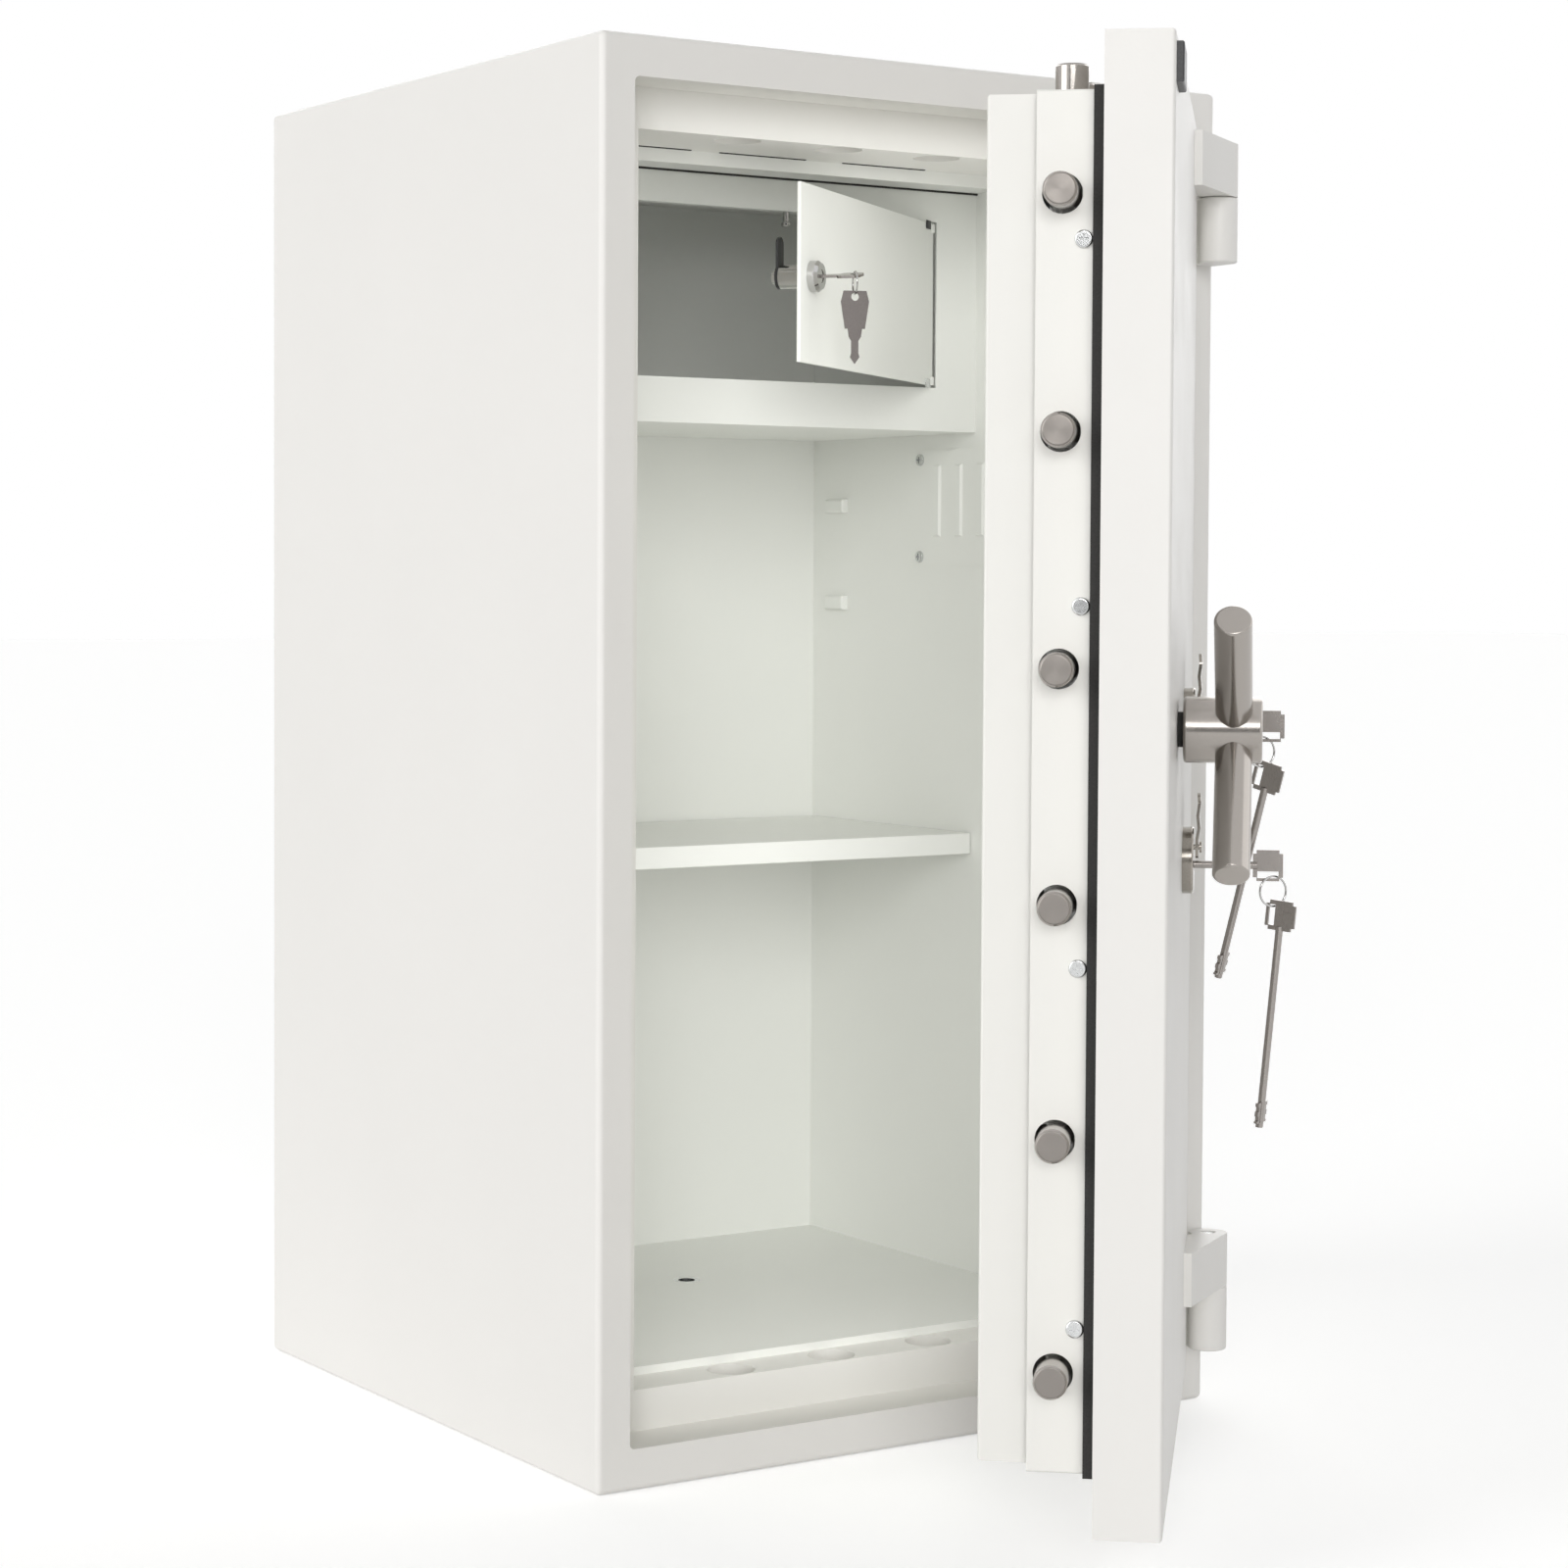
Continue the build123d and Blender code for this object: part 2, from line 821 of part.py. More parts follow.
def edge_screw(z):
    x = axis_x - box_far
    y = axis_y + edge_screw_w
    head = rod_x(6.0, y, z, x - 2.6, x)
    head = fillet(head.faces().sort_by(Axis.X)[0].edges(), 1.5)
    return head - Pos(x - 2.6, y, z) * Rot(0, 90, 0) * cross_slot(6.4, 1.5)


def badge_plate():
    plate = door_block(badge_u0, badge_u1, leaf_front - badge_depth, leaf_front, badge_z0, badge_z1)
    return fillet(plate.faces().sort_by(Axis.Y)[0].edges(), 1.5)


add("door_edge_screws", *[on_door(edge_screw(z)) for z in edge_screw_heights])
add("badge_plate", on_door(badge_plate()))


# Bolts and their carrier bars inside the bolt box
bar_sheet = 5.0
side_bar_u = 440.0
bar_half_width = 10.0
edge_bar_offset = 19.0
edge_bar_height = 15.0
link_w = bolt_w - 2.0


def side_bolt(z):
    y = axis_y + bolt_w
    tip = axis_x - box_far - side_throw
    solid = rod_x(bolt_radius, y, z, tip, axis_x - side_bar_u - bar_sheet)
    return chamfer(solid.faces().sort_by(Axis.X)[0].edges(), bolt_chamfer)


def side_bolt_bar():
    heights = side_bolt_heights()
    bar = door_block(
        side_bar_u,
        side_bar_u + bar_sheet,
        bolt_w - bar_half_width,
        bolt_w + bar_half_width,
        heights[0] - 20,
        heights[-1] + 20,
    )
    link = door_block(390, side_bar_u, link_w, link_w + 4, handle_z - 8, handle_z + 8)
    return bar + link


def edge_bolt(x, top):
    y = axis_y + bolt_w
    if top:
        face = box_top + top_throw
        solid = rod_z(bolt_radius, x, y, box_top - edge_bar_offset, face)
        return chamfer(solid.faces().sort_by(Axis.Z)[-1].edges(), bolt_chamfer)
    face = box_bottom - bottom_throw
    solid = rod_z(bolt_radius, x, y, face, box_bottom + edge_bar_offset)
    return chamfer(solid.faces().sort_by(Axis.Z)[0].edges(), bolt_chamfer)


def edge_bolt_bar(top):
    places = edge_bolt_places()
    y = axis_y + bolt_w
    if top:
        z1 = box_top - edge_bar_offset
        z0 = z1 - edge_bar_height
        stem0, stem1 = handle_z + 60, z0
    else:
        z0 = box_bottom + edge_bar_offset
        z1 = z0 + edge_bar_height
        stem0, stem1 = z1, handle_z - 60
    bar = block(places[0] - 14, places[-1] + 14, y - bar_half_width, y + bar_half_width, z0, z1)
    stem = block(places[1] - 22, places[1] - 4, y - 2, y + 2, stem0, stem1)
    return bar + stem


add("side_bolts", *[on_door(side_bolt(z)) for z in side_bolt_heights()])
add("side_bolt_bar", on_door(side_bolt_bar()))
add("top_bolts", *[on_door(edge_bolt(x, True)) for x in edge_bolt_places()])
add("top_bolt_bar", on_door(edge_bolt_bar(True)))
add("bottom_bolts", *[on_door(edge_bolt(x, False)) for x in edge_bolt_places()])
add("bottom_bolt_bar", on_door(edge_bolt_bar(False)))


# Handle: hub with three spokes, collar, spindle and the drive disc behind the leaf
def handle_spoke(angle):
    spoke = Pos(0, 0, spoke_length / 2) * Cylinder(spoke_radius, spoke_length)
    spoke = fillet(spoke.faces().sort_by(Axis.Z)[-1].edges(), 2.0)
    lean = 90 - angle
    placed = Pos(axis_x - handle_u, axis_y + spoke_w, handle_z) * Rot(0, -lean, 0) * spoke
    core = rod_y(hub_radius, axis_x - handle_u, handle_z, axis_y - 100, axis_y + 100)
    return placed - core


def handle_hub():
    w1 = leaf_front - hub_gap
    hub = door_rod(hub_radius, handle_u, handle_z, w1 - hub_length, w1)
    return fillet(hub.edges(), 2.0)


def handle_collar():
    ring = door_rod(collar_radius, handle_u, handle_z, leaf_front - hub_gap + 0.3, leaf_front)
    return ring - door_rod(spindle_bore, handle_u, handle_z, 0, leaf_front + 1)


def handle_spindle():
    return door_rod(spindle_radius, handle_u, handle_z, leaf_front - hub_gap, box_back - 6)


def drive_disc():
    disc = door_rod(36.0, handle_u, handle_z, link_w + 5, link_w + 10)
    return disc - door_rod(spindle_radius, handle_u, handle_z, 0, box_back + 5)


add("handle_hub", on_door(handle_hub()))
add("handle_spokes", *[on_door(handle_spoke(angle)) for angle in spoke_angles])
add("handle_collar", on_door(handle_collar()))
add("handle_spindle", on_door(handle_spindle()))
add("bolt_drive_disc", on_door(drive_disc()))

# Key locks: rosette, swinging keyhole cover, lock case with its bolt, key, ring and spare key
cover_pivot_rise = 9.5
cover_half_width = 8.0
cover_line = [(-10.0, 0.0), (6.0, 0.0), (14.0, 1.4), (23.0, 0.5), (32.0, 1.7), (42.0, 0.8)]
cover_end = 31.0
cover_plate_sheet = 2.2
cover_lift = 1.0
pivot_stem_radius = 2.0
pivot_head_radius = 4.0
case_half_width = 32.0
case_half_height = 44.0
case_depth = 22.0
lock_bolt_travel = 10.0
bit_width = 16.0
bit_height = 15.0
bit_sheet = 2.6
bit_notch = 3.4
bit_rise = 14.0
spare_leans = {"upper": 16.0, "lower": 5.5}
spare_sways = {"upper": -5.0, "lower": 0.0}
ring_places = {"upper": 4.0, "lower": -3.8}
ring_shifts = {"upper": 1.8, "lower": 0.0}


def rosette(z):
    disc = door_rod(rosette_radius, lock_u, z, leaf_front - rosette_depth, leaf_front)
    disc = fillet(disc.faces().sort_by(Axis.Y)[0].edges(), 1.5)
    slot = door_rod(keyway_radius, lock_u, z - key_drop, 0, leaf_front + 1)
    pivot = door_rod(pivot_stem_radius, lock_u, z + cover_pivot_rise, 0, leaf_front)
    return without(disc, [slot, pivot])


def cover_pivot(z):
    w = leaf_front - rosette_depth
    head_w = w - cover_lift - cover_plate_sheet - 0.6
    stem = door_rod(pivot_stem_radius, lock_u, z + cover_pivot_rise, head_w, w + 4)
    head = door_rod(pivot_head_radius, lock_u, z + cover_pivot_rise, head_w - 1.6, head_w)
    return stem + head


# The cover is a slightly wavy strip with round ends, turned up out of the way of the key
def keyhole_cover(z):
    pivot_z = z + cover_pivot_rise
    near_y = axis_y + leaf_front - rosette_depth - cover_lift
    back = [(near_y - bulge, pivot_z + rise) for rise, bulge in cover_line]
    front = [(y - cover_plate_sheet, z) for y, z in reversed(back)]
    side = Plane(origin=(axis_x - lock_u - cover_half_width, 0, 0), x_dir=(0, 1, 0), z_dir=(1, 0, 0))
    strip = extrude(side * make_face(Polyline(*back, *front, close=True)), 2 * cover_half_width)
    end_z = pivot_z + cover_end
    outline = door_block(lock_u - cover_half_width, lock_u + cover_half_width, -10, 10, pivot_z, end_z)
    outline = outline + door_rod(cover_half_width, lock_u, pivot_z, -10, 10)
    outline = outline + door_rod(cover_half_width, lock_u, end_z, -10, 10)
    return (strip & outline) - door_rod(pivot_stem_radius + pin_clearance, lock_u, pivot_z, -10, 10)


def lock_case(z):
    case = door_block(
        lock_u - case_half_width,
        lock_u + case_half_width,
        box_front + box_sheet,
        box_front + box_sheet + case_depth,
        z - case_half_height,
        z + case_half_height,
    )
    keyway = door_rod(keyway_radius, lock_u, z - key_drop, 0, box_front + case_depth - 2)
    pocket = door_block(
        lock_u + 8,
        lock_u + case_half_width + 1,
        box_front + 9.7,
        box_front + 18.3,
        z + 13.7,
        z + 36.3,
    )
    return without(case, [keyway, pocket])


def lock_bolt(z):
    return door_block(
        lock_u + 8 + lock_bolt_travel + 2,
        lock_u + case_half_width + lock_bolt_travel + 2,
        box_front + 10,
        box_front + 18,
        z + 14,
        z + 36,
    )


# Key bow: a flat plate with notched corners and a long slot near one edge
def key_bow():
    plate = Box(bow_thickness, bow_width, bow_height)
    corner = Box(2 * bow_thickness, bow_notch, bow_notch)
    y = (bow_width - bow_notch) / 2
    z = (bow_height - bow_notch) / 2
    corners = [Pos(0, side * y, level * z) * corner for side in (-1, 1) for level in (-1, 1)]
    slot_z = slot_edge + (slot_height - bow_height) / 2
    return without(plate, corners + [Pos(0, 0, slot_z) * Box(2 * bow_thickness, slot_length, slot_height)])


def door_key(z):
    key_z = z - key_drop
    bow_w = leaf_front - key_reach
    shaft = door_rod(key_shaft_radius, lock_u, key_z, bow_w + bow_width - 3, box_front + case_depth - 6)
    bow = Pos(axis_x - lock_u, axis_y + bow_w + bow_width / 2, key_z) * key_bow()
    return shaft + bow


ring_w = leaf_front - key_reach + bow_width / 2
ring_lift = 1.4
hang_lift = 4.9


def ring_centre(name, z):
    top_z = z - key_drop - bow_height / 2 + slot_edge + ring_lift
    shift = ring_shifts[name]
    drop = (ring_radius**2 - shift**2) ** 0.5
    hook = Pos(axis_x - lock_u, axis_y + ring_w + ring_places[name], top_z)
    return hook * Rot(0, 0, ring_turn) * Pos(0, shift, -drop)


def split_ring(name, z):
    return ring_centre(name, z) * Rot(0, 90, 0) * Torus(ring_radius, ring_wire)


# Long double bitted key that hangs from the ring by one end of the slot in its bow
def spare_key(name, z):
    slot_offset = slot_edge + (slot_height - bow_height) / 2
    bow = Pos(0, 0, -bow_width / 2) * Rot(90, 0, 0) * Pos(0, 0, -slot_offset) * key_bow()
    shaft_y = slot_offset
    shaft = Pos(0, shaft_y, 3 - bow_width - spare_length / 2) * Cylinder(key_shaft_radius, spare_length)
    notches = [
        Pos(side * bit_width / 2, 0, level) * Box(bit_notch, 2 * bit_sheet, bit_notch)
        for side in (-1, 1)
        for level in (-4, 3)
    ]
    bit = without(Box(bit_width, bit_sheet, bit_height), notches)
    bit = Pos(0, shaft_y, bit_rise - bow_width - spare_length) * bit
    key = Pos(0, 0, hang_lift) * (bow + shaft + bit)
    swing = Rot(0, 0, -spare_turn - ring_turn) * Rot(spare_leans[name], spare_sways[name], 0)
    return ring_centre(name, z) * Pos(0, 0, -ring_radius) * swing * key


for name, z in lock_heights.items():
    add(f"{name}_lock_rosette", on_door(rosette(z)))
    add(f"{name}_cover_pivot", on_door(cover_pivot(z)))
    add(f"{name}_keyhole_cover", on_door(keyhole_cover(z)))
    add(f"{name}_lock_case", on_door(lock_case(z)))
    add(f"{name}_lock_bolt", on_door(lock_bolt(z)))
    add(f"{name}_key", on_door(door_key(z)))
    add(f"{name}_key_ring", on_door(split_ring(name, z)))
    add(f"{name}_spare_key", on_door(spare_key(name, z)))

os.makedirs("parts", exist_ok=True)
for name, shape in nodes.items():
    export_step(shape, f"parts/{name}.step")
print(len(nodes), "parts written")
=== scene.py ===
# Security safe with its door open: finishes, small fittings, studio and camera.
import json
import math
import bmesh
import bpy
from mathutils import Matrix, Vector


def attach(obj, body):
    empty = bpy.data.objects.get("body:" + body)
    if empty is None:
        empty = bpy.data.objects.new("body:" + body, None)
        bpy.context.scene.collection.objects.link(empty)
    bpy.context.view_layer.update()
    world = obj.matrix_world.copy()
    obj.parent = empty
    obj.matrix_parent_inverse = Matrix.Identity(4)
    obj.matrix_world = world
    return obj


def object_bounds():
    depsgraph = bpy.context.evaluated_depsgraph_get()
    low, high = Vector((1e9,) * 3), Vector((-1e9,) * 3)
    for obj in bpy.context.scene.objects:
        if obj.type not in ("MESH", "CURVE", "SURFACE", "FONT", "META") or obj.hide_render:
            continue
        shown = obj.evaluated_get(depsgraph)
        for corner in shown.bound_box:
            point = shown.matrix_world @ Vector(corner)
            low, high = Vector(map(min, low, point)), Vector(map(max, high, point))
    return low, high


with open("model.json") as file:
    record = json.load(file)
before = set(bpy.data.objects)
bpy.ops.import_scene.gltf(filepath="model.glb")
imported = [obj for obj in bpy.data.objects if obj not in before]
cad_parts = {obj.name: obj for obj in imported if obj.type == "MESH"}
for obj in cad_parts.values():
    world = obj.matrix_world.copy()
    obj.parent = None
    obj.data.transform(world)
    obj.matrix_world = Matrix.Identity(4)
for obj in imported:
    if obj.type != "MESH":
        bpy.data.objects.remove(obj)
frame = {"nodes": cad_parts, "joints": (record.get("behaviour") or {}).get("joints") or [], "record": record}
nodes = frame["nodes"]
joints = {joint["name"]: joint for joint in frame["joints"]}
scene = bpy.context.scene
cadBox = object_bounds()
print("frame loaded:", len(nodes), "parts")


# small helpers for shader trees
def clearTree(tree):
    for node in list(tree.nodes):
        tree.nodes.remove(node)


def addNode(tree, kind, **inputs):
    node = tree.nodes.new(kind)
    for name, value in inputs.items():
        node.inputs[name.replace("_", " ")].default_value = value
    return node


def joinNodes(tree, source, target):
    tree.links.new(source, target)


def mathNode(tree, operation, first, second=None, clamp=False):
    node = tree.nodes.new("ShaderNodeMath")
    node.operation = operation
    node.use_clamp = clamp
    for slot, value in enumerate((first, second)):
        if value is None:
            continue
        if isinstance(value, (int, float)):
            node.inputs[slot].default_value = value
        else:
            joinNodes(tree, value, node.inputs[slot])
    return node.outputs[0]


def mixColour(tree, factor, first, second, blend="MIX"):
    node = tree.nodes.new("ShaderNodeMix")
    node.data_type = "RGBA"
    node.blend_type = blend
    for slot, value in ((0, factor), (6, first), (7, second)):
        if isinstance(value, (int, float, tuple)):
            node.inputs[slot].default_value = value
        else:
            joinNodes(tree, value, node.inputs[slot])
    return node.outputs[2]


def newGroup(name, inputs, outputs):
    group = bpy.data.node_groups.new(name, "ShaderNodeTree")
    for label, value in inputs:
        socket = group.interface.new_socket(label, in_out="INPUT", socket_type="NodeSocketFloat")
        socket.default_value = value
    for label in outputs:
        group.interface.new_socket(label, in_out="OUTPUT", socket_type="NodeSocketFloat")
    return group, group.nodes.new("NodeGroupInput"), group.nodes.new("NodeGroupOutput")


# powder coat: fine orange peel, a broad drift of tone and a few rubbed patches
def makePeelGroup():
    group, source, result = newGroup(
        "orangePeel", [("Peel Size", 420.0), ("Drift Size", 3.0)], ["Height", "Tone", "Rub"]
    )
    place = group.nodes.new("ShaderNodeTexCoord").outputs["Object"]
    peel = addNode(group, "ShaderNodeTexNoise", Detail=2.0, Roughness=0.45)
    joinNodes(group, place, peel.inputs["Vector"])
    joinNodes(group, source.outputs["Peel Size"], peel.inputs["Scale"])
    grit = addNode(group, "ShaderNodeTexNoise", Scale=1500.0, Detail=1.0)
    joinNodes(group, place, grit.inputs["Vector"])
    fine = mathNode(group, "MULTIPLY", grit.outputs["Fac"], 0.25)
    height = mathNode(group, "ADD", peel.outputs["Fac"], fine)
    drift = addNode(group, "ShaderNodeTexNoise", Detail=3.0, Roughness=0.5)
    joinNodes(group, place, drift.inputs["Vector"])
    joinNodes(group, source.outputs["Drift Size"], drift.inputs["Scale"])
    rub = addNode(group, "ShaderNodeTexNoise", Scale=18.0, Detail=5.0, Roughness=0.7)
    joinNodes(group, place, rub.inputs["Vector"])
    joinNodes(group, height, result.inputs["Height"])
    joinNodes(group, drift.outputs["Fac"], result.inputs["Tone"])
    joinNodes(group, rub.outputs["Fac"], result.inputs["Rub"])
    return group


# brushed metal: long fine streaks along one axis of the mesh
def makeBrushGroup():
    group, source, result = newGroup(
        "brushedGrain",
        [("Stretch X", 1.0), ("Stretch Y", 1.0), ("Stretch Z", 1.0), ("Size", 900.0)],
        ["Grain", "Smudge"],
    )
    place = group.nodes.new("ShaderNodeTexCoord").outputs["Object"]
    split = group.nodes.new("ShaderNodeSeparateXYZ")
    joinNodes(group, place, split.inputs[0])
    merge = group.nodes.new("ShaderNodeCombineXYZ")
    for index, label in enumerate(("Stretch X", "Stretch Y", "Stretch Z")):
        length = mathNode(group, "MULTIPLY", split.outputs[index], source.outputs[label])
        joinNodes(group, length, merge.inputs[index])
    grain = addNode(group, "ShaderNodeTexNoise", Detail=3.0, Roughness=0.6)
    joinNodes(group, merge.outputs[0], grain.inputs["Vector"])
    joinNodes(group, source.outputs["Size"], grain.inputs["Scale"])
    smudge = addNode(group, "ShaderNodeTexNoise", Scale=35.0, Detail=4.0, Roughness=0.6)
    joinNodes(group, place, smudge.inputs["Vector"])
    joinNodes(group, grain.outputs["Fac"], result.inputs["Grain"])
    joinNodes(group, smudge.outputs["Fac"], result.inputs["Smudge"])
    return group


peelGroup = makePeelGroup()
brushGroup = makeBrushGroup()


def newMaterial(name):
    material = bpy.data.materials.new(name)
    material.use_nodes = True
    tree = material.node_tree
    clearTree(tree)
    shader = tree.nodes.new("ShaderNodeBsdfPrincipled")
    output = tree.nodes.new("ShaderNodeOutputMaterial")
    joinNodes(tree, shader.outputs[0], output.inputs[0])
    return material, tree, shader


def rangeNode(tree, value, low, high):
    node = tree.nodes.new("ShaderNodeMapRange")
    node.inputs["To Min"].default_value = low
    node.inputs["To Max"].default_value = high
    node.inputs["From Min"].default_value = 0.3
    node.inputs["From Max"].default_value = 0.7
    joinNodes(tree, value, node.inputs["Value"])
    return node.outputs[0]


def bumpFrom(tree, shader, height, strength, distance):
    bump = addNode(tree, "ShaderNodeBump", Strength=strength, Distance=distance)
    joinNodes(tree, height, bump.inputs["Height"])
    joinNodes(tree, bump.outputs[0], shader.inputs["Normal"])


def scaled(colour, factor):
    return tuple(min(1.0, channel * factor) for channel in colour) + (1.0,)


# powder coated sheet steel
def paintMaterial(name, look):
    material, tree, shader = newMaterial(name)
    peel = tree.nodes.new("ShaderNodeGroup")
    peel.node_tree = peelGroup
    peel.inputs["Peel Size"].default_value = look["peelSize"]
    peel.inputs["Drift Size"].default_value = look["driftSize"]
    tone = rangeNode(tree, peel.outputs["Tone"], 0.0, 1.0)
    dark, light = (scaled(look["colour"], 1 + side * look["drift"]) for side in (-1, 1))
    joinNodes(tree, mixColour(tree, tone, dark, light), shader.inputs["Base Color"])
    low, high = look["roughness"] - look["rub"], look["roughness"] + look["rub"]
    joinNodes(tree, rangeNode(tree, peel.outputs["Rub"], low, high), shader.inputs["Roughness"])
    shader.inputs["Specular IOR Level"].default_value = look["gloss"]
    bumpFrom(tree, shader, peel.outputs["Height"], look["peelDepth"], look["peelHeight"])
    return material


# brushed, turned or plated metal
def metalMaterial(name, look):
    material, tree, shader = newMaterial(name)
    grain = tree.nodes.new("ShaderNodeGroup")
    grain.node_tree = brushGroup
    for index, label in enumerate(("Stretch X", "Stretch Y", "Stretch Z")):
        grain.inputs[label].default_value = look["stretch"][index]
    grain.inputs["Size"].default_value = look["grainSize"]
    streak = rangeNode(tree, grain.outputs["Grain"], 0.0, 1.0)
    dark, light = (scaled(look["colour"], 1 + side * look["contrast"]) for side in (-1, 1))
    joinNodes(tree, mixColour(tree, streak, dark, light), shader.inputs["Base Color"])
    low, high = look["roughness"] - look["smudge"] / 2, look["roughness"] + look["smudge"]
    smudge = rangeNode(tree, grain.outputs["Smudge"], low, high)
    joinNodes(tree, smudge, shader.inputs["Roughness"])
    shader.inputs["Metallic"].default_value = 1.0
    bumpFrom(tree, shader, grain.outputs["Grain"], look["grainDepth"], 0.0002)
    return material


# foam seal and other matt black pieces
def blackMaterial(name, look):
    material, tree, shader = newMaterial(name)
    speck = addNode(tree, "ShaderNodeTexNoise", Scale=look["speckSize"], Detail=3.0, Roughness=0.7)
    joinNodes(tree, tree.nodes.new("ShaderNodeTexCoord").outputs["Object"], speck.inputs["Vector"])
    tone = rangeNode(tree, speck.outputs["Fac"], 0.0, 1.0)
    colour = mixColour(tree, tone, scaled(look["colour"], 0.6), scaled(look["colour"], 1.5))
    joinNodes(tree, colour, shader.inputs["Base Color"])
    sheen = rangeNode(tree, speck.outputs["Fac"], look["roughness"], look["roughness"] + 0.12)
    joinNodes(tree, sheen, shader.inputs["Roughness"])
    bumpFrom(tree, shader, speck.outputs["Fac"], look["speckDepth"], 0.0005)
    return material


# cast barrier material, seen only in cut openings
def fillMaterial(look):
    material, tree, shader = newMaterial("barrierFill")
    pores = addNode(tree, "ShaderNodeTexVoronoi", Scale=look["poreSize"])
    joinNodes(tree, tree.nodes.new("ShaderNodeTexCoord").outputs["Object"], pores.inputs["Vector"])
    dark, light = scaled(look["colour"], 0.7), scaled(look["colour"], 1.1)
    colour = mixColour(tree, pores.outputs["Distance"], dark, light)
    joinNodes(tree, colour, shader.inputs["Base Color"])
    shader.inputs["Roughness"].default_value = 0.9
    bumpFrom(tree, shader, pores.outputs["Distance"], 0.4, 0.001)
    return material


bodyPaint = {
    "colour": (0.855, 0.84, 0.81), "drift": 0.012, "driftSize": 2.5,
    "peelSize": 520.0, "peelDepth": 0.10, "roughness": 0.42, "gloss": 0.45,
    "rub": 0.055, "peelHeight": 0.0004,
}
framePaint = {
    "colour": (0.86, 0.85, 0.81), "drift": 0.012, "driftSize": 3.0,
    "peelSize": 520.0, "peelDepth": 0.09, "roughness": 0.40, "gloss": 0.45,
    "rub": 0.055, "peelHeight": 0.0004,
}
linerPaint = {
    "colour": (0.90, 0.91, 0.87), "drift": 0.015, "driftSize": 4.0,
    "peelSize": 560.0, "peelDepth": 0.09, "roughness": 0.45, "gloss": 0.4,
    "rub": 0.055, "peelHeight": 0.0004,
}
handleSteel = {
    "colour": (0.40, 0.372, 0.345), "contrast": 0.05, "stretch": (1.0, 1.0, 0.03),
    "grainSize": 2200.0, "grainDepth": 0.02, "roughness": 0.19, "smudge": 0.03,
}
boltNickel = {
    "colour": (0.40, 0.375, 0.35), "contrast": 0.04, "stretch": (1.0, 1.0, 1.0),
    "grainSize": 700.0, "grainDepth": 0.015, "roughness": 0.16, "smudge": 0.03,
}
lockNickel = {
    "colour": (0.36, 0.335, 0.30), "contrast": 0.08, "stretch": (1.0, 1.0, 1.0),
    "grainSize": 900.0, "grainDepth": 0.02, "roughness": 0.15, "smudge": 0.04,
}
keyNickel = {
    "colour": (0.36, 0.335, 0.315), "contrast": 0.08, "stretch": (1.0, 1.0, 0.25),
    "grainSize": 1400.0, "grainDepth": 0.04, "roughness": 0.24, "smudge": 0.05,
}
keyDull = {
    "colour": (0.17, 0.155, 0.15), "contrast": 0.15, "stretch": (1.0, 1.0, 1.0),
    "grainSize": 1800.0, "grainDepth": 0.12, "roughness": 0.42, "smudge": 0.05,
}
zincPlate = {
    "colour": (0.66, 0.67, 0.67), "contrast": 0.08, "stretch": (1.0, 1.0, 1.0),
    "grainSize": 500.0, "grainDepth": 0.04, "roughness": 0.24, "smudge": 0.05,
}
chromePlate = {
    "colour": (0.55, 0.545, 0.54), "contrast": 0.02, "stretch": (1.0, 1.0, 1.0),
    "grainSize": 300.0, "grainDepth": 0.005, "roughness": 0.08, "smudge": 0.02,
}
foamSeal = {
    "colour": (0.022, 0.021, 0.020), "speckSize": 700.0, "speckDepth": 0.35, "roughness": 0.72,
}
badgeBlack = {
    "colour": (0.03, 0.03, 0.032), "speckSize": 500.0, "speckDepth": 0.05, "roughness": 0.35,
}
camBlack = {
    "colour": (0.025, 0.025, 0.026), "speckSize": 900.0, "speckDepth": 0.08, "roughness": 0.38,
}
barrierCast = {"colour": (0.50, 0.48, 0.45), "poreSize": 160.0}

finishes = {
    "paint": paintMaterial("bodyPaint", bodyPaint),
    "frame_paint": paintMaterial("framePaint", framePaint),
    "liner_paint": paintMaterial("linerPaint", linerPaint),
    "handle_steel": metalMaterial("handleSteel", handleSteel),
    "bolt_nickel": metalMaterial("boltNickel", boltNickel),
    "lock_nickel": metalMaterial("lockNickel", lockNickel),
    "key_nickel": metalMaterial("keyNickel", keyNickel),
    "zinc": metalMaterial("zincPlate", zincPlate),
    "chrome": metalMaterial("chromePlate", chromePlate),
    "seal": blackMaterial("foamSeal", foamSeal),
    "badge": blackMaterial("badgeBlack", badgeBlack),
    "cam_black": blackMaterial("camBlack", camBlack),
    "fill": fillMaterial(barrierCast),
}
for part in frame["record"]["subparts"]:
    mesh = nodes[part["node"]].data
    mesh.materials.clear()
    mesh.materials.append(finishes[part["material_slot"]])
lockerSpare = nodes["locker_spare_key"].data
lockerSpare.materials.clear()
lockerSpare.materials.append(metalMaterial("keyDull", keyDull))


